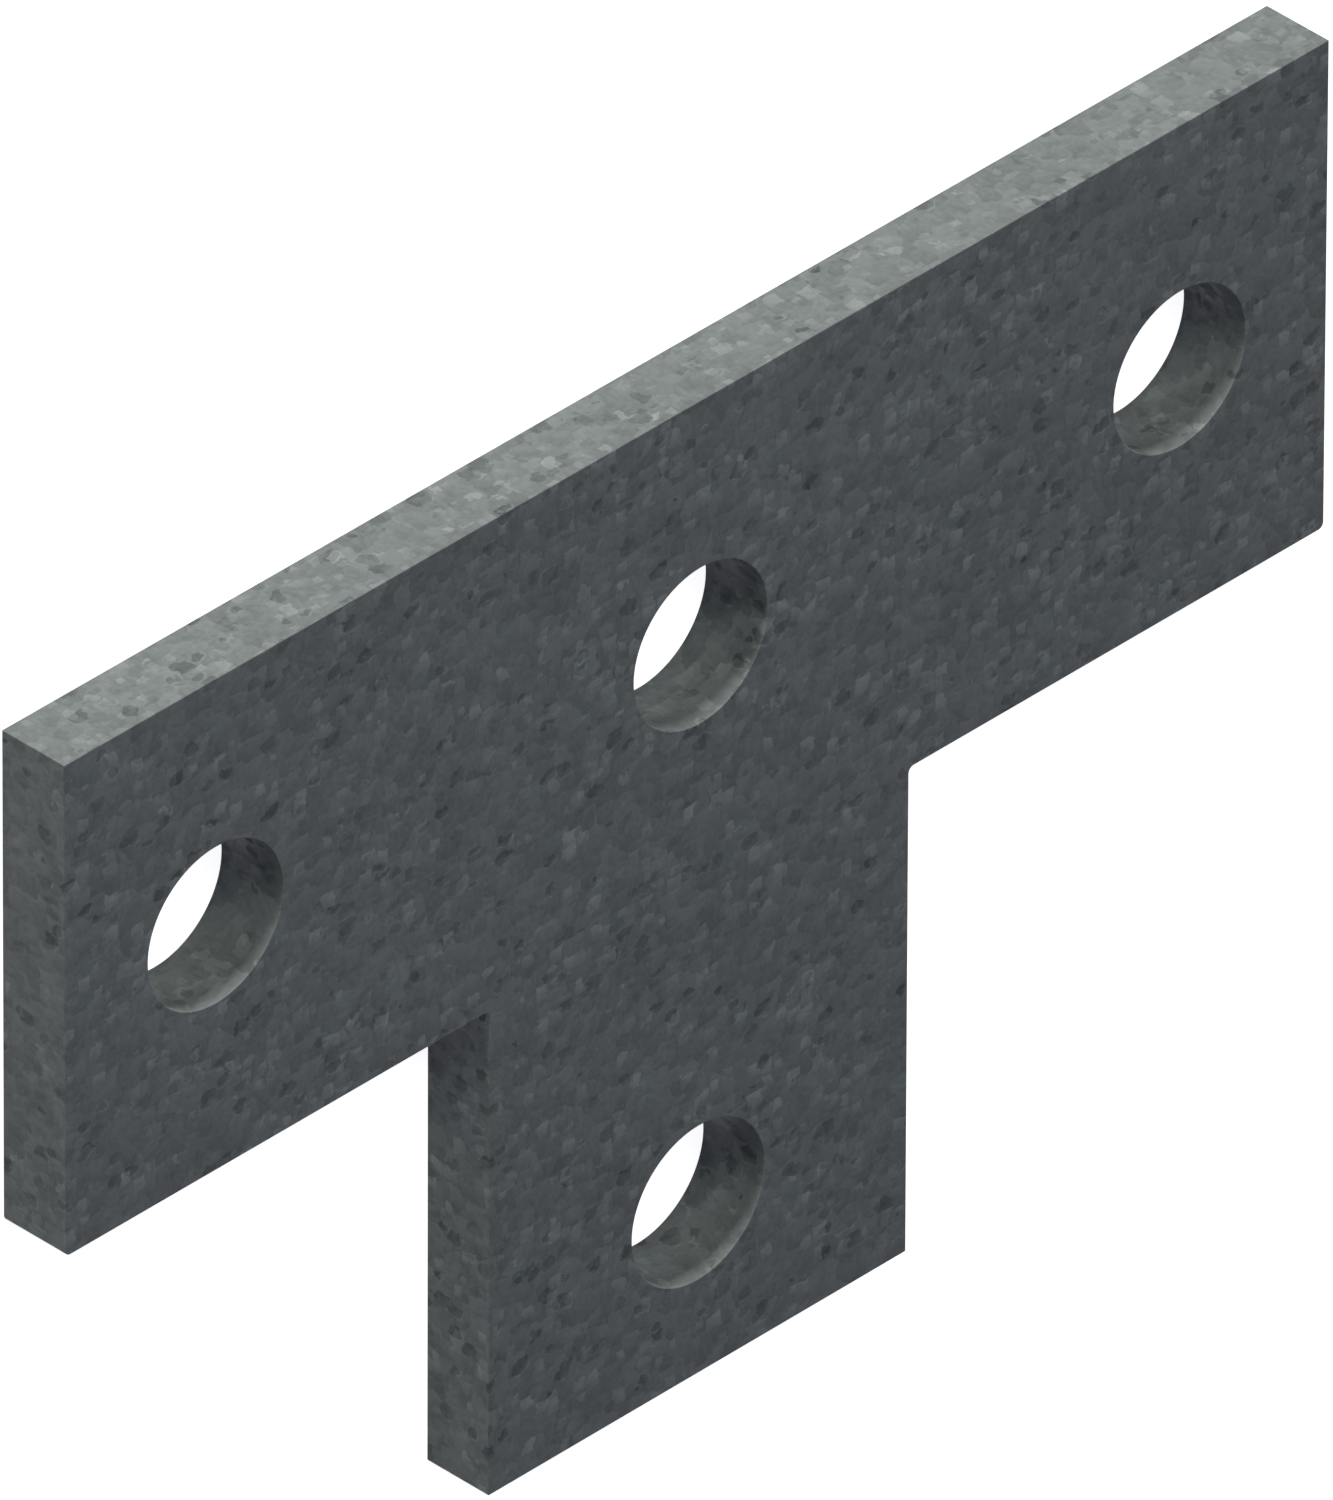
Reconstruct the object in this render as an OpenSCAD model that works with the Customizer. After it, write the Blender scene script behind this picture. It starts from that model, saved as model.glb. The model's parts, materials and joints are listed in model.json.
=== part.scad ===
// Flat tee-shaped splice plate for bolting lengths of framing channel together.
// The plate lies on its back face at z = 0. Its arm runs along X, its stem points
// towards -Y, and the origin is the centre of the bolt hole where the two meet.

/* [Plate] */
// Thickness of the plate
plate_t = 6; // [3:0.5:12]
// Width of the arm, the straight bar across the top of the tee
arm_w = 41; // [30:1:60]
// Width of the stem
stem_w = 41; // [30:1:60]
// Metal past the centre of the last hole, at each end of the arm
arm_end = 14.5; // [12:0.5:30]
// Metal past the centre of the stem's hole, at the foot of the stem
stem_end = 14.5; // [12:0.5:30]
// Radius of the two arm corners and the two inside corners beside the stem
corner_r = 0.5; // [0.1:0.1:3]

/* [Bolt holes] */
// Diameter of each hole, which clears a 12 mm bolt
hole_d = 13; // [9:0.5:18]
// Distance from the junction hole to each outer hole of the arm
arm_pitch = 47; // [40:1:80]
// Distance from the junction hole to the stem's hole
stem_pitch = 47; // [40:1:80]

/* [Hidden] */
$fn = 96;
// Half the arm's length, and how far the stem's foot lies below the junction hole
arm_half = arm_pitch + arm_end;
stem_foot = stem_pitch + stem_end;
// How far each drill passes both faces of the plate
drill_past = 1;
// The three holes along the arm, then the stem's hole
hole_places = concat(
    [for (step = [-1:1]) [step * arm_pitch, 0]],
    [[0, -stem_pitch]]
);

// A square block round the origin, hollowed to an arc on the side of +X and +Y.
// Cut from an outside corner it rounds it, and added to an inside corner it
// fills it to the same arc.
module corner_block() {
    difference() {
        translate([-corner_r, -corner_r]) square(2 * corner_r);
        translate([corner_r, corner_r]) circle(corner_r);
    }
}

// Draws its children, and again mirrored to the other side of the stem
module both_sides() {
    children();
    mirror([1, 0]) children();
}

// The flat tee as it is cut from plate, before it is drilled
module tee_outline() {
    difference() {
        union() {
            translate([-arm_half, -arm_w / 2]) square([2 * arm_half, arm_w]);
            translate([-stem_w / 2, -stem_foot]) square([stem_w, stem_foot]);
            both_sides()
                translate([stem_w / 2, -arm_w / 2]) mirror([0, 1]) corner_block();
        }
        both_sides()
            translate([arm_half, -arm_w / 2]) mirror([1, 0]) corner_block();
    }
}

// One bolt hole's drill, standing on the origin and passing through the plate
module bolt_drill() {
    translate([0, 0, -drill_past])
        cylinder(d = hole_d, h = plate_t + 2 * drill_past);
}

// The whole part: one piece of zinc-grey steel plate with its four bolt holes
module tee_plate() {
    color([0.42, 0.44, 0.44])
        difference() {
            linear_extrude(plate_t) tee_outline();
            for (place = hole_places) translate(place) bolt_drill();
        }
}

tee_plate();
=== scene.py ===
# %% [markdown]
# # A galvanised tee splice plate
#
# Lengths of steel framing channel are bolted together with flat plates like this
# one: a tee cut from 6 mm steel, punched for four bolts and dipped in molten zinc.
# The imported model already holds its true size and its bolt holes. What is left to
# make is the look: edges that the zinc has softened, and the mottled grey that the
# zinc sets to. The plate lies on its back, as it would on a bench.

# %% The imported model, its box and the sizes that the holes are known by
import json
import math

import bpy
import numpy as np
from mathutils import Matrix, Vector


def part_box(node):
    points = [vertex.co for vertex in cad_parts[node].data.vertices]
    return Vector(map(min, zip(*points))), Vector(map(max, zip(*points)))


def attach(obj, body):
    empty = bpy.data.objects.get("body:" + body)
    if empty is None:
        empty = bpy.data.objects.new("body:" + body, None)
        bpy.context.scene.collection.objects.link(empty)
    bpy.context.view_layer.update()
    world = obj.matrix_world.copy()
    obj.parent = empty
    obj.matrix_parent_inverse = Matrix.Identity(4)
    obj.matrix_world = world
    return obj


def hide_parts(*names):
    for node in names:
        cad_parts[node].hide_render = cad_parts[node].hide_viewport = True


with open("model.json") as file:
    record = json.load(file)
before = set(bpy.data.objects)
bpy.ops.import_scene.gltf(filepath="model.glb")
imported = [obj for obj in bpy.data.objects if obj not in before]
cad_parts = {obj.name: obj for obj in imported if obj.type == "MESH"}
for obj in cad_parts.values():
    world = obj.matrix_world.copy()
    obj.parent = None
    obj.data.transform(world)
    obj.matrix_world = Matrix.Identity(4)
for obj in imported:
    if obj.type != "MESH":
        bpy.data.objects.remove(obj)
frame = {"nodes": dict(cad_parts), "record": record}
scene = bpy.context.scene
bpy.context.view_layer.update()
mounts = {mount["name"]: mount for mount in frame["record"]["mounts"]}

# %% [markdown]
# ## Sizes read from the model
#
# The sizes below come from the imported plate, so the dressed plate can't drift away
# from it. The box gives the arm's reach, its width and the thickness. The stem's
# width is read from the points along its foot, and the holes' places and radius
# from the record's mounts. Only the corners' small radius is written out.

# %% The plate's own sizes, in metres
MM = 0.001
plate_low, plate_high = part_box("tee_plate")
thick = plate_high.z
arm_reach = plate_high.x
arm_half = plate_high.y
foot_y = plate_low.y
corner_radius = 0.5 * MM
foot_band = 0.1 * MM

cad_mesh = frame["nodes"]["tee_plate"].data
coordinates = np.empty(len(cad_mesh.vertices) * 3, np.float32)
cad_mesh.vertices.foreach_get("co", coordinates)
cad_points = coordinates.reshape(-1, 3)
at_foot = cad_points[:, 1] < foot_y + foot_band
stem_half = float(np.abs(cad_points[at_foot, 0]).max())

hole_radius = mounts["junction_hole"]["dims"]["r_mm"] * MM
hole_left, hole_middle, hole_right, hole_stem = (
    np.array(mounts[name]["pos_m"][:2])
    for name in ("left_hole", "junction_hole", "right_hole", "stem_hole")
)
print(f"half widths {arm_half / MM:.2f} and {stem_half / MM:.2f}, reach {arm_reach / MM:.2f} mm")
print(f"foot {foot_y / MM:.2f}, thickness {thick / MM:.2f}, hole radius {hole_radius / MM:.2f} mm")

# %% [markdown]
# ## A camera that sees almost without perspective
#
# The picture to match is drawn in isometric view, where parallel edges stay
# parallel. An orthographic camera would do that too, but it can't step back when it
# is moved round the plate. A very long lens from far away comes close enough, and
# can. The plate lies flat, so the camera looks down on it, and it is rolled until
# the tee's flat top edge is uppermost.

# %% Camera
camera_azimuth = math.radians(-134.68)
camera_elevation = math.radians(35.05)
camera_roll = math.radians(119.82)
camera_aim = Vector((-4.598, -5.864, 7.266)) * MM
camera_distance = 4.288
lens_mm = 1500
sensor_mm = 36

camera_back = Vector((
    math.sin(camera_azimuth) * math.cos(camera_elevation),
    -math.cos(camera_azimuth) * math.cos(camera_elevation),
    math.sin(camera_elevation),
))
camera = bpy.data.objects.new("camera", bpy.data.cameras.new("camera"))
scene.collection.objects.link(camera)
camera.data.sensor_fit = "VERTICAL"
camera.data.sensor_width = camera.data.sensor_height = sensor_mm
camera.data.lens = lens_mm
camera.data.clip_start = 0.1
camera.data.clip_end = 20
upright = (-camera_back).to_track_quat("-Z", "Y").to_matrix()
camera.matrix_world = Matrix.LocRotScale(
    camera_aim + camera_back * camera_distance,
    upright @ Matrix.Rotation(camera_roll, 3, "Z"),
    None,
)
scene.camera = camera
print("camera at", [round(v, 3) for v in camera.location])

# %% [markdown]
# ## The outline, as points with the way each one faces
#
# A cut edge dipped in zinc is never quite sharp. The plate is therefore built like
# a tray: its flat faces stop a hair inside the true outline, and a rounded strip
# carries on round the edge. For that, each point of the inner line needs the
# direction in which the edge lies. A straight run keeps one direction, and an arc
# turns it evenly. A sharp corner is an arc of no radius: its point stays put while
# the direction turns, and the strip rounds the corner by the same hair.

# %% Runs of the outline
edge_radius = 0.06 * MM
straight_steps = 40
corner_steps = 3
right, up, down = (1.0, 0.0), (0.0, 1.0), (0.0, -1.0)


def straight(start, end, facing):
    """A straight run. Point i of n is start + (end - start) * i / n, and all face one way."""
    share = np.linspace(0, 1, straight_steps + 1)[:, None]
    points = np.asarray(start) * (1 - share) + np.asarray(end) * share
    return points, np.tile(facing, (len(points), 1))


def arc(centre, radius, start_deg, end_deg, steps, away=1):
    """A round run. Its points are centre + radius * (cos a, sin a) for evenly spaced a, and they
    face along (cos a, sin a), or against it where away is -1, as in a hollow corner."""
    angle = np.radians(np.linspace(start_deg, end_deg, steps + 1))
    ray = np.stack([np.cos(angle), np.sin(angle)], 1)
    return np.asarray(centre) + radius * ray, away * ray


def chained(*runs):
    """The points of several runs that follow each other, each shared end point taken once."""
    return np.concatenate([points[:-1] for points, facing in runs])


# %% The right half of the tee, walked anticlockwise from the foot
inner_x, inner_end = stem_half - edge_radius, arm_reach - edge_radius
inner_top, inner_under = arm_half - edge_radius, edge_radius - arm_half
inner_foot = foot_y + edge_radius
outer_round = (arm_reach - corner_radius, corner_radius - arm_half)
pocket_round = (stem_half + corner_radius, -arm_half - corner_radius)
pocket_radius = corner_radius + edge_radius

foot_corner = arc((inner_x, inner_foot), 0, -90, 0, 2 * corner_steps)
stem_side = straight((inner_x, inner_foot), (inner_x, pocket_round[1]), right)
pocket_low = arc(pocket_round, pocket_radius, 180, 135, corner_steps, away=-1)
pocket_high = arc(pocket_round, pocket_radius, 135, 90, corner_steps, away=-1)
under_side = straight((pocket_round[0], inner_under), (outer_round[0], inner_under), down)
outer_corner = arc(outer_round, corner_radius - edge_radius, -90, 0, 2 * corner_steps)
end_side = straight((inner_end, outer_round[1]), (inner_end, inner_top), right)
top_corner = arc((inner_end, inner_top), 0, 0, 90, 2 * corner_steps)
top_side = straight((inner_end, inner_top), (stem_half, inner_top), up)
top_middle = straight((stem_half, inner_top), (-stem_half, inner_top), up)
foot_side = straight((-inner_x, inner_foot), (inner_x, inner_foot), down)

right_half = [foot_corner, stem_side, pocket_low, pocket_high, under_side, outer_corner,
              end_side, top_corner, top_side]
print("points along the right half:", sum(len(points) for points, facing in right_half))

# %% [markdown]
# ## Four squares with a hole in each
#
# The tee is four squares side by side, each with one bolt hole. A square with a
# round hole makes a clean grid if its lines run like spokes, from the rim of the
# hole to the square's edge. The grid's two parameters are the place round the edge
# and the share of the way out. Where two squares meet they share the same points.

# %% The seams between the squares, and the loops round them
pocket = pocket_high[0][0]
pocket_left = pocket * (-1, 1)
seam_down = straight((stem_half, inner_top), pocket, right)
seam_up = straight(pocket, (stem_half, inner_top), right)
seam_across = straight(pocket_left, pocket, down)
seam_back = straight(pocket, pocket_left, down)


def flipped(run):
    """The same run on the other side of the stem, walked the other way."""
    points, facing = run
    return points[::-1] * (-1, 1), facing[::-1] * (-1, 1)


loop_right = chained(pocket_high, under_side, outer_corner, end_side, top_side, seam_down)
loop_middle = chained(seam_across, seam_up, top_middle, flipped(seam_up))
loop_stem = chained(
    foot_side, stem_side, pocket_low, seam_back, flipped(pocket_low), flipped(stem_side)
)
squares = [
    (loop_right, hole_right),
    (loop_middle, hole_middle),
    (loop_right * (-1, 1), hole_left),
    (loop_stem, hole_stem),
]

# %% [markdown]
# ## Zinc that has run a little
#
# Molten zinc drains off the plate and sets in very shallow swells, a hundredth of a
# millimetre or two deep. Low light shows them as a faint unevenness. They are real
# geometry here: a mean of waves in many directions, which sinks the faces and never
# lifts them, and which dies away before an edge or a hole.

# %% Swells of the zinc
swell_depth = 0.014 * MM
swell_lengths = np.array([3.1, 3.7, 4.3, 4.9, 5.6, 6.4, 7.3, 8.5, 9.9, 11.5, 13.4, 15.6]) * MM
calm_border = 2.5 * MM
swell_seed = 4106
draws = np.random.default_rng(swell_seed)
swell_angle = draws.uniform(0, 2 * np.pi, len(swell_lengths))
swell_phase = draws.uniform(0, 2 * np.pi, len(swell_lengths))
swell_way = np.stack([np.cos(swell_angle), np.sin(swell_angle)], 1)
swell_waves = 2 * np.pi / swell_lengths[:, None] * swell_way


def calm(points, hole):
    """How freely the zinc can swell at each point: 0 up to a corner's radius from an edge, and
    1 from calm_border further in. With s the share of that border crossed, it is
    s * s * (3 - 2 * s)."""
    x, y = np.abs(points[..., 0]), points[..., 1]
    in_arm = np.minimum(arm_reach - x, arm_half - np.abs(y))
    in_stem = np.minimum(np.minimum(stem_half - x, y - foot_y), arm_half - y)
    from_hole = np.linalg.norm(points - hole, axis=-1) - hole_radius
    distance = np.minimum(np.maximum(in_arm, in_stem), from_hole)
    share = np.clip((distance - corner_radius) / calm_border, 0, 1)
    return share * share * (3 - 2 * share)


def swells(points, hole):
    """Depth and slope of the zinc at each point. The depth is the mean over all waves of
    swell_depth * (1 + sin(k . p + phase)), times calm; the slope is that sum's gradient."""
    phase = points @ swell_waves.T + swell_phase
    free = calm(points, hole)
    depth = swell_depth * (1 + np.sin(phase)).mean(-1) * free
    slope = swell_depth * (np.cos(phase) @ swell_waves) / len(swell_lengths) * free[..., None]
    return depth, slope


# %% A face: the grid of spokes between a hole and the loop round it
spoke_steps = 26


def face_grid(loop, hole):
    """Points and normals of one square of the front face. With c the rim point in the direction
    of loop point q, the spoke is c * (1 - t) + q * t for t from 0 to 1, at the front's height
    less the zinc's depth."""
    ray = loop - hole
    ray = ray / np.linalg.norm(ray, axis=1)[:, None]
    rim = hole + ray * (hole_radius + edge_radius)
    out = np.linspace(0, 1, spoke_steps + 1)[:, None, None]
    flat = rim * (1 - out) + loop * out
    depth, slope = swells(flat, hole)
    points = np.concatenate([flat, (thick - depth)[..., None]], -1)
    normals = np.concatenate([slope, np.ones_like(depth)[..., None]], -1)
    return points, normals / np.linalg.norm(normals, axis=-1)[..., None]


# %% An edge: a rounded strip carried along a run
round_steps = 4
wall_steps = 6


def edge_grid(points, facing):
    """The strip from the front face over the edge to the back. At tilt f from the front, a point
    lies edge_radius * sin f outwards and edge_radius * cos f up from the centre of the rounding.
    The wall between the two roundings is straight."""
    quarter = np.linspace(0, np.pi / 2, round_steps + 1)
    wall = np.full(wall_steps - 1, np.pi / 2)
    tilt = np.concatenate([quarter, wall, quarter + np.pi / 2])
    centre = np.concatenate([
        np.full(round_steps, thick - edge_radius),
        np.linspace(thick - edge_radius, edge_radius, wall_steps + 1),
        np.full(round_steps, edge_radius),
    ])
    outwards = np.sin(tilt)[:, None, None]
    flat = points + facing * outwards * edge_radius
    height = (centre + edge_radius * np.cos(tilt))[:, None] * np.ones(len(points))
    lift = np.cos(tilt)[:, None] * np.ones(len(points))
    return (
        np.concatenate([flat, height[..., None]], -1),
        np.concatenate([facing * outwards, lift[..., None]], -1),
    )


def hole_grid(loop, hole):
    """The wall of a hole: the same strip, closed into a ring that faces its own axis."""
    ray = np.concatenate([loop, loop[:1]]) - hole
    ray = ray / np.linalg.norm(ray, axis=1)[:, None]
    return edge_grid(hole + ray * (hole_radius + edge_radius), -ray)


# %% [markdown]
# ## One closed skin
#
# The grids are computed apart and then welded: points in the same place become one,
# and a four-sided face that has lost a side becomes a triangle. The edge of the left
# half is the right one's with x turned round, and the back is the front with its
# height turned round. Each face is then made to look the way its points' normals do,
# so it doesn't matter that mirroring turned some of them over. The swells aren't the
# same left and right, so the left face is worked out on its own and not mirrored.

# %% Grids to one mesh
weld_grain = 1e-7


def close_round(grid):
    """The grid with its first column repeated after its last, so that a loop closes."""
    return np.concatenate([grid, grid[:, :1]], axis=1)


def grid_faces(rows, columns):
    """Corner numbers of the four-sided faces of a grid whose points are numbered row by row."""
    first = (np.arange(rows - 1)[:, None] * columns + np.arange(columns - 1)).ravel()
    return np.stack([first, first + 1, first + columns + 1, first + columns], 1)


def gathered(grids):
    """All grids in one list of points, one of normals and one of faces."""
    points, normals, faces, count = [], [], [], 0
    for grid, normal in grids:
        points.append(grid.reshape(-1, 3))
        normals.append(normal.reshape(-1, 3))
        faces.append(grid_faces(*grid.shape[:2]) + count)
        count += grid.shape[0] * grid.shape[1]
    return np.concatenate(points), np.concatenate(normals), np.concatenate(faces)


def welded(points, normals, faces):
    """Points that round to the same multiple of weld_grain become one, with the first's normal."""
    grains = np.round(points / weld_grain).astype(np.int64)
    kept, number = np.unique(grains, axis=0, return_index=True, return_inverse=True)[1:]
    return points[kept], normals[kept], number.reshape(-1)[faces]


def turned_out(points, normals, faces):
    """The faces, with each one turned over whose own direction runs against its points' normals."""
    a, b, c, d = (points[faces[:, i]] for i in range(4))
    direction = np.cross(c - a, d - b)
    against = (direction * normals[faces].sum(1)).sum(1) < 0
    return np.where(against[:, None], faces[:, ::-1], faces)


def polygons(faces):
    """The faces as lists of corners, with a corner that stands twice left out."""
    twice = faces == np.roll(faces, -1, axis=1)
    whole = faces[~twice.any(1)].tolist()
    cut = [face[~same].tolist() for face, same in zip(faces[twice.any(1)], twice[twice.any(1)])]
    return whole + [face for face in cut if len(face) > 2]


# %% The dressed plate
mirror_x = np.array([-1.0, 1.0, 1.0])
turn_over = np.array([1.0, 1.0, -1.0])

front = [tuple(close_round(part) for part in face_grid(loop, hole)) for loop, hole in squares]
back = [(points * turn_over + (0, 0, thick), normals * turn_over) for points, normals in front]
edges = [edge_grid(points, facing) for points, facing in right_half]
edges += [tuple(part * mirror_x for part in grid) for grid in edges]
edges += [edge_grid(*top_middle), edge_grid(*foot_side)]
walls = [hole_grid(loop, hole) for loop, hole in squares]

points, normals, quads = welded(*gathered(front + back + edges + walls))
faces = polygons(turned_out(points, normals, quads))
plate_mesh = bpy.data.meshes.new("galvanised_plate")
plate_mesh.from_pydata(points.tolist(), [], faces)
plate_mesh.polygons.foreach_set("use_smooth", np.ones(len(plate_mesh.polygons), bool))
plate_mesh.normals_split_custom_set_from_vertices(normals.tolist())
plate = bpy.data.objects.new("galvanised_plate", plate_mesh)
scene.collection.objects.link(plate)

euler_number = len(points) - len(plate_mesh.edges) + len(plate_mesh.polygons)
print(f"plate: {len(points)} points, {len(faces)} faces")
print(f"Euler number {euler_number}, which four holes make -6")

# %% [markdown]
# ## Zinc, layer by layer
#
# Hot zinc sets as a patchwork of crystals about two millimetres across, each combed
# in its own direction. Flat facets overlap them, small pale scales lie on top, and
# there are small dark pits where ash was caught. Painted light is added to these:
# facets and scales are painted paler on the side towards the key lamp, and each pit is
# painted lighter on that side, with a painted highlight, a bright crescent, beside it.
# Every layer below works out one number for each place on the plate. The numbers add
# up to a tone, and that much of a second grey is added to the plain one. The second
# grey is a little warmer, so pale marks come out warmer than the plain grey, and dark
# ones cooler. All layers read Object coordinates, turned into millimetres so that the
# sizes can be held against a ruler. The pattern runs through the solid, so it turns
# corners unbroken.

# %% A short way to add shader nodes
def node_maker(material_or_world):
    """Clears the nodes of a material or world, and gives a function that adds new ones to it."""
    tree = material_or_world.node_tree
    tree.nodes.clear()

    def add(kind, sockets, output=0, **settings):
        """Adds a node. Each named socket gets a number or a link, and the result is the output
        asked for, ready to be wired into the next node."""
        node = tree.nodes.new("ShaderNode" + kind)
        for key, value in settings.items():
            setattr(node, key, value)
        for key, value in sockets.items():
            if isinstance(value, bpy.types.NodeSocket):
                tree.links.new(value, node.inputs[key])
            else:
                node.inputs[key].default_value = value
        return node.outputs[output] if node.outputs else node

    return add


zinc = bpy.data.materials.new("hot_dip_zinc")
zinc.use_nodes = True
add = node_maker(zinc)


# %% Arithmetic on nodes, in the tree that add was last made for
def calc(operation, *values):
    """One step of arithmetic on numbers or sockets."""
    return add("Math", dict(enumerate(values)), operation=operation)


def vector(operation, *values):
    """One step of vector arithmetic whose result is a vector."""
    return add("VectorMath", dict(enumerate(values)), operation=operation)


def scaled(value, factor):
    """A vector made longer by a factor."""
    return add("VectorMath", {0: value, "Scale": factor}, operation="SCALE")


def along(value, direction):
    """How far a vector reaches along a direction."""
    return add("VectorMath", {0: value, 1: direction}, "Value", operation="DOT_PRODUCT")


def product(*values):
    """The product of any number of numbers or sockets."""
    result = values[0]
    for value in values[1:]:
        result = calc("MULTIPLY", result, value)
    return result


def total(*values):
    """The sum of any number of numbers or sockets."""
    result = values[0]
    for value in values[1:]:
        result = calc("ADD", result, value)
    return result


def fade(value, start, end, low=0.0, high=1.0):
    """low where value is start, high where it is end, and a smooth S between the two."""
    numbers = {"Value": value, 1: start, 2: end, 3: low, 4: high}
    return add("MapRange", numbers, interpolation_type="SMOOTHSTEP")


# %% Places in millimetres, and a ripple that bends them
in_metres = add("TexCoord", {}, "Object")
place = scaled(in_metres, 1 / MM)
clouds = add("TexNoise", {"Vector": place, "Scale": 1.2, "Detail": 1.0, "Roughness": 0.5}, "Color")
ripple = vector("SUBTRACT", clouds, (0.5, 0.5, 0.5))


# %% Scattered cells, and the three random numbers that each one has
def cells(offset, size, bend):
    """Points scattered about size millimetres apart. Gives the distance from the nearest one, the
    vector from it to here, and its own three random numbers. The offset picks another scatter,
    and bend is how many millimetres the ripple moves things, so that no edge looks ruled."""
    here = vector("ADD", place, vector("ADD", scaled(ripple, 2 * bend), offset))
    sockets = {"Vector": here, "Scale": 1 / size}
    nearest = add("TexVoronoi", sockets, distance="CHEBYCHEV").node.outputs
    chances = add("SeparateColor", {"Color": nearest["Color"]}).node.outputs
    distance = calc("MULTIPLY", nearest["Distance"], size)
    return distance, vector("SUBTRACT", here, nearest["Position"]), chances


def spot(distance, radius, rim):
    """1 inside the radius, 0 outside it, with a soft rim of that width."""
    return fade(calc("SUBTRACT", radius, distance), 0.0, rim)


# %% Crystals, each combed in its own direction
crystal_contrast, combing_contrast = 0.02, 0.08
half_turn = 3.14
comb_stretch = (0.7, 2.4, 2.4)
crystal_chance = cells(offset=(0, 0, 0), size=2.1, bend=0.4)[2]
crystal_tone = fade(crystal_chance[0], 0.0, 1.0, -crystal_contrast, crystal_contrast)
turn = scaled(add("CombineXYZ", {axis: crystal_chance[axis] for axis in range(3)}), 2 * half_turn)
turned = add("VectorRotate", {"Vector": place, "Rotation": turn}, rotation_type="EULER_XYZ")
combed = vector("MULTIPLY", turned, comb_stretch)
combing = add("TexNoise", {"Vector": combed, "Scale": 1.0, "Detail": 1.0, "Roughness": 0.6})
combing_tone = fade(combing, 0.25, 0.75, -combing_contrast, combing_contrast)

# %% Facets that overlap the crystals, with painted shading: each is paler on its side towards the key lamp
# painted light: the side towards the key lamp, on which facets and scales are painted paler
lamp_lit_side = (0.3, 0.8, -0.5)
facet_contrast, facet_shading_gain = 0.09, 0.1
facet_way, facet_chance = cells(offset=(29, 3, 61), size=1.4, bend=0.25)[1:]
facet_tone = fade(facet_chance[0], 0.0, 1.0, -facet_contrast, facet_contrast)
# painted shading: each facet is paler on its lamp side and darker on the other
facet_painted_shading = product(along(facet_way, lamp_lit_side), facet_shading_gain)

# %% Scales: small, squarish and pale, with painted shading: paler towards the key lamp than away from it
scale_distance, scale_way, scale_chance = cells(offset=(53, 11, 37), size=1.3, bend=0.35)
scale_radius = fade(scale_chance[1], 0.0, 1.0, low=0.3, high=0.7)
scales = spot(scale_distance, scale_radius, rim=0.04)
# painted shading: a scale is painted paler on its side towards the key lamp
scale_painted_shading = fade(along(scale_way, lamp_lit_side), -0.5, 0.5, low=0.4, high=1.1)
scale_strength = fade(scale_chance[0], 0.4, 1.0, high=0.42)
scale_tone = product(scales, scale_painted_shading, scale_strength)

# %% Dark pits, longer than wide, with painted light: painted lighter on the lower side, whose wall faces the key lamp, and a painted highlight, a bright crescent, below it
# the side of a pit whose wall faces the key lamp, where the pit is painted lighter and a highlight
# crescent is painted
pit_lamp_side = (0.4, -0.7, 0.6)
pit_stretch = (0.75, 1.15, 1.0)
crescent_width, crescent_share = 0.16, -0.9
pit_way, pit_chance = cells(offset=(7, 41, 23), size=1.5, bend=0.45)[1:]
pit_reach = vector("MULTIPLY", pit_way, pit_stretch)
pit_distance = add("VectorMath", {0: pit_reach}, "Value", operation="LENGTH")
pit_radius = fade(pit_chance[1], 0.0, 1.0, low=0.45, high=0.85)
pits = spot(pit_distance, pit_radius, rim=0.06)
# painted light: each pit is painted less dark on its side towards the key lamp
pit_painted_shading = fade(along(pit_way, pit_lamp_side), -0.1, 0.6, low=1.0, high=0.3)
pit_strength = fade(pit_chance[0], 0.58, 1.0, high=-0.32)
pit_tone = product(pits, pit_painted_shading, pit_strength)
# painted highlight: a bright crescent round each pit's side towards the key lamp
wider_pits = spot(pit_distance, calc("ADD", pit_radius, crescent_width), rim=0.1)
ring = calc("SUBTRACT", wider_pits, pits)
painted_crescent = product(ring, fade(along(pit_way, pit_lamp_side), 0.1, 0.5))
painted_crescent_tone = product(painted_crescent, pit_strength, crescent_share)

# %% The grey, which a few crystals tint green, and the tone added to it
zinc_grey = (0.136, 0.149, 0.152)
tone_grey = (0.1415, 0.151, 0.1505)
green_grey = (0.138, 0.155, 0.159)
green_from = 0.95
greenish = fade(crystal_chance[1], green_from, green_from + 0.001)
plain = add("Mix", {"Factor": greenish, "A": zinc_grey, "B": green_grey}, 1, data_type="VECTOR")
tone = total(
    crystal_tone, combing_tone, facet_tone, facet_painted_shading, scale_tone, pit_tone, painted_crescent_tone
)
colour = vector("ADD", plain, scaled(tone_grey, tone))

# %% [markdown]
# ## Relief without measuring it
#
# A bump node has to work out the whole pattern three times, to feel which way it
# slopes. Here the slopes are known: each crystal and scale leans as one flat facet,
# and a pit's wall faces its middle. Those leans are added to the normal directly.

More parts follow.
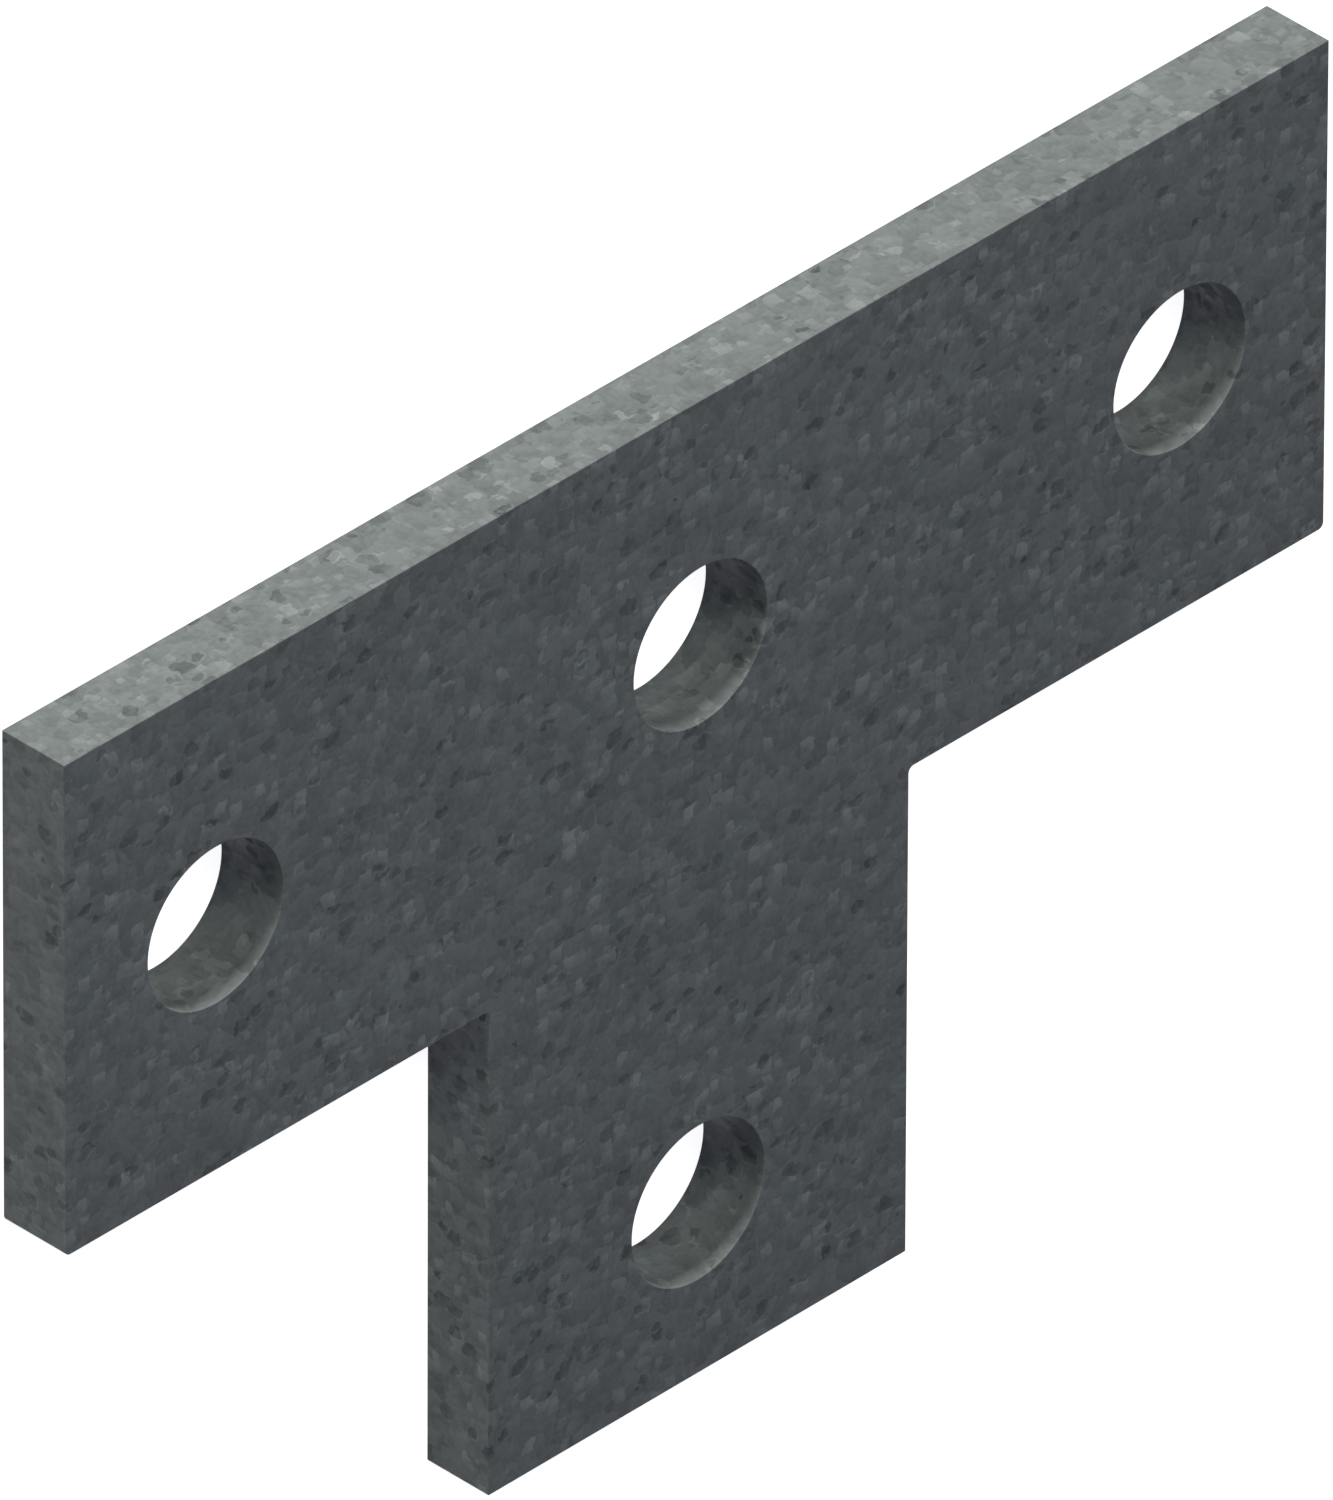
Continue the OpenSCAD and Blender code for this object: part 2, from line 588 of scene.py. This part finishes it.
# %% How each place leans and how rough it is
crystal_steepness, pit_steepness, scale_steepness = 0.002, 0.8, 0.015
crystal_lean = scaled(vector("SUBTRACT", turn, [half_turn] * 3), crystal_steepness)
pit_wall = product(pits, calc("SUBTRACT", 1.0, pits), pit_strength)
pit_lean = scaled(pit_way, product(pit_wall, pit_steepness))
scale_lean = scaled(scale_way, product(scales, scale_steepness))
flat_normal = add("NewGeometry", {}, "Normal")
leans = vector("ADD", crystal_lean, vector("ADD", pit_lean, scale_lean))
leaning = vector("NORMALIZE", vector("ADD", flat_normal, leans))
plain_roughness, pit_rougher, scale_smoother = 0.52, 0.15, -0.05
roughness = total(plain_roughness, product(pits, pit_rougher), product(scales, scale_smoother))

surface = add("BsdfPrincipled", {
    "Base Color": colour,
    "Metallic": 0.08,
    "Roughness": roughness,
    "Specular IOR Level": 0.1,
    "Normal": leaning,
})
add("OutputMaterial", {"Surface": surface})
plate_mesh.materials.append(zinc)

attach(plate, "root")
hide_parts("tee_plate")

# %% [markdown]
# ## White paper under the plate
#
# The picture's background is plain white, and the plate is dark grey. Enough light
# to whiten the paper would bleach the plate. So the paper is plain pale paper that
# takes the plate's shadow, with a glow that only the camera, mirrors and glass can
# see. The glow lights nothing. It brings the paper up to white, and the shadow stays.

# %% Paper
paper_half = 6.0
paper_glow = 0.86
paper_mesh = bpy.data.meshes.new("paper")
signs = [(-1, -1), (1, -1), (1, 1), (-1, 1)]
paper_corners = [(x * paper_half, y * paper_half, 0) for x, y in signs]
paper_mesh.from_pydata(paper_corners, [], [(0, 1, 2, 3)])
paper = bpy.data.objects.new("paper", paper_mesh)
scene.collection.objects.link(paper)


def ray_kinds():
    """1 or 0 for a ray from the camera, and 1 or 0 for one from a mirror or through glass."""
    ray = add("LightPath", {}).node.outputs
    return ray["Is Camera Ray"], calc("MAXIMUM", ray["Is Glossy Ray"], ray["Is Transmission Ray"])


white_paper = bpy.data.materials.new("white_paper")
white_paper.use_nodes = True
add = node_maker(white_paper)
seen = calc("MAXIMUM", *ray_kinds())
glow = add("Emission", {"Color": (1, 1, 1, 1), "Strength": product(seen, paper_glow)})
sheet = add("BsdfDiffuse", {"Color": (0.8, 0.8, 0.8, 1)})
add("OutputMaterial", {"Surface": add("AddShader", {0: sheet, 1: glow})})
paper_mesh.materials.append(white_paper)

# %% [markdown]
# ## Low lamps, a fill and a high sky
#
# The plate's top edge is the brightest face by far, and the others differ little.
# A wide, flat lamp almost level with the paper gives that: it strikes the top edge
# squarely and only grazes the front. A weaker one does the same for the arm's end.
# A soft fill from a third of the way up reaches into the holes, and a bluish sky
# lights the front from overhead. The camera sees that sky as plain white, and so
# does a mirror where it is close to the horizon. That white throws no light.

# %% Lamps
scene.view_settings.view_transform = "Standard"
lamp_distance = 1.2


def soft_lamp(name, direction, width, height, power, colour):
    """A flat lamp of that width and height, lamp_distance away and turned towards the plate."""
    lamp = bpy.data.lights.new(name, "AREA")
    lamp.shape = "RECTANGLE"
    lamp.size = width
    lamp.size_y = height
    lamp.energy = power
    lamp.color = colour
    holder = bpy.data.objects.new(name, lamp)
    scene.collection.objects.link(holder)
    way = Vector(direction).normalized()
    towards_plate = (-way).to_track_quat("-Z", "Y")
    holder.matrix_world = Matrix.LocRotScale(way * lamp_distance, towards_plate, None)


strip_lamp = {"width": 0.6, "height": 0.12}
square_lamp = {"width": 0.5, "height": 0.5}
soft_lamp("key", (0.0, 1.0, 0.06), **strip_lamp, power=13.5, colour=(1.0, 0.99, 0.925))
soft_lamp("side", (-1.0, 0.36, 0.06), **strip_lamp, power=1.35, colour=(0.96, 1.0, 0.93))
soft_lamp("fill", (-0.2, 0.84, 0.5), **square_lamp, power=7.7, colour=(0.955, 1.0, 0.89))

# %% Sky
sky_colour = (1.0, 1.0, 1.31, 1)
sky_strength = 0.61
world = bpy.data.worlds.new("studio")
scene.world = world
world.use_nodes = True
add = node_maker(world)
from_camera, from_mirror = ray_kinds()
way_up = add("SeparateXYZ", {0: add("TexCoord", {}, "Generated")}).node.outputs["Z"]
height = fade(way_up, 0.68, 0.97)
dim_sky = add("Background", {"Color": sky_colour, "Strength": product(height, sky_strength)})
white_wall = add("Background", {"Color": (1, 1, 1, 1), "Strength": 1.0})
backdrop = calc("MAXIMUM", from_camera, product(from_mirror, fade(way_up, 0.35, 0.05)))
add("OutputWorld", {"Surface": add("MixShader", {0: backdrop, 1: dim_sky, 2: white_wall})})
